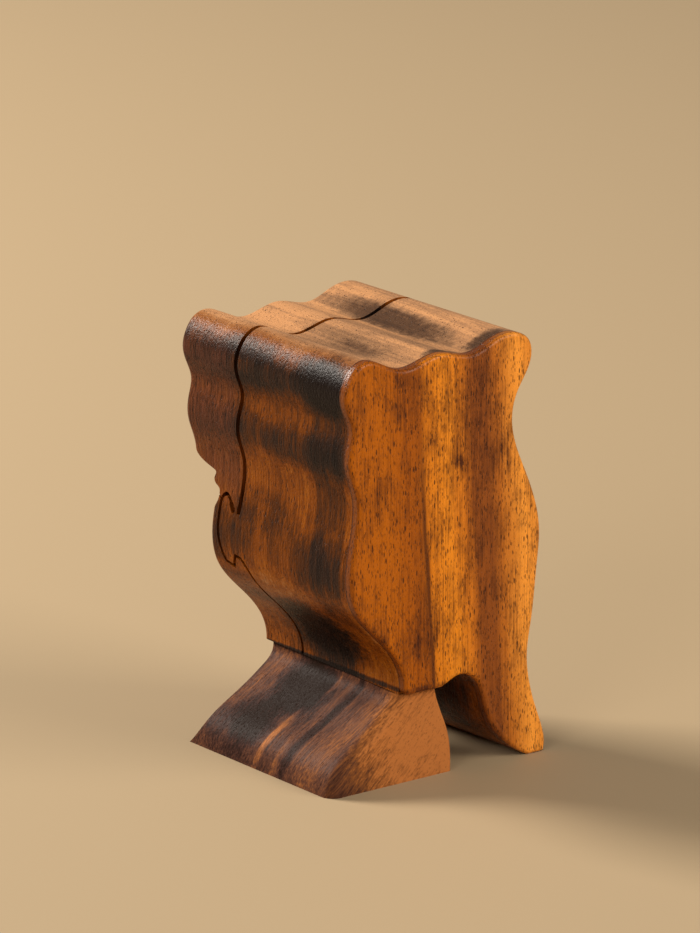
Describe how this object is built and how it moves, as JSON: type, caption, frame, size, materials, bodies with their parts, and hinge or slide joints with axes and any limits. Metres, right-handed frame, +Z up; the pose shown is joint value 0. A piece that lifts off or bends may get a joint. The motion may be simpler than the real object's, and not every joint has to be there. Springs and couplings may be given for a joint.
{
  "type": "wooden puzzle box",
  "caption": "Free-standing wooden puzzle box with a scalloped top, waisted sides, a leg beside a flared pull-out foot, a lift-off back cover and a hidden drop-down cover.",
  "frame": {"origin": "middle of the object's bounding box, at table level", "axes": "+X to the right along the front panel, +Y from the front panel to the back, +Z up"},
  "size_m": [0.079, 0.0774, 0.1315],
  "materials": {
    "body_wood": "oiled satin",
    "panel_wood": "oiled satin",
    "cover_wood": "oiled satin",
    "foot_wood": "oiled satin",
    "dowel_wood": "bare, sanded",
    "felt": "matt felt",
    "magnet": "nickel plated"
  },
  "bodies": {
    "case": {"core_block": "body_wood", "front_panel": "panel_wood", "compartment_floor_felt": "felt", "compartment_back_felt": "felt", "pocket_felt": "felt", "core_seam_magnets": "magnet", "core_lower_magnets": "magnet", "core_foot_magnet": "magnet"},
    "upper cover": {"upper_cover": "cover_wood", "cover_felt": "felt", "cover_magnets": "magnet"},
    "foot": {"foot": "foot_wood", "foot_lock_dowel": "dowel_wood", "foot_plain_dowel": "dowel_wood", "foot_locating_pin": "dowel_wood", "foot_magnet": "magnet"},
    "lower cover": {"lower_cover": "cover_wood", "lower_cover_magnets": "magnet"},
    "lock": {"lock_bolt": "dowel_wood", "lock_peg": "dowel_wood"}
  },
  "joints": [
    {"name": "upper_cover_lift", "type": "slide", "parent": "case", "child": "upper cover", "axis": [0, 0, 1], "range_m": [0, 0.062]},
    {"name": "case_lift", "type": "slide", "parent": "foot", "child": "case", "axis": [0, 0, 1], "range_m": [0, 0.03]},
    {"name": "lower_cover_drop", "type": "slide", "parent": "case", "child": "lower cover", "axis": [0, 0, -1], "range_m": [0, 0.03]},
    {"name": "bolt_throw", "type": "slide", "parent": "case", "child": "lock", "axis": [0, -1, 0], "range_m": [0, 0.007]}
  ],
  "couplings": [
    {"joint": "lower_cover_drop", "follows": "case_lift", "ratio": 1}
  ]
}
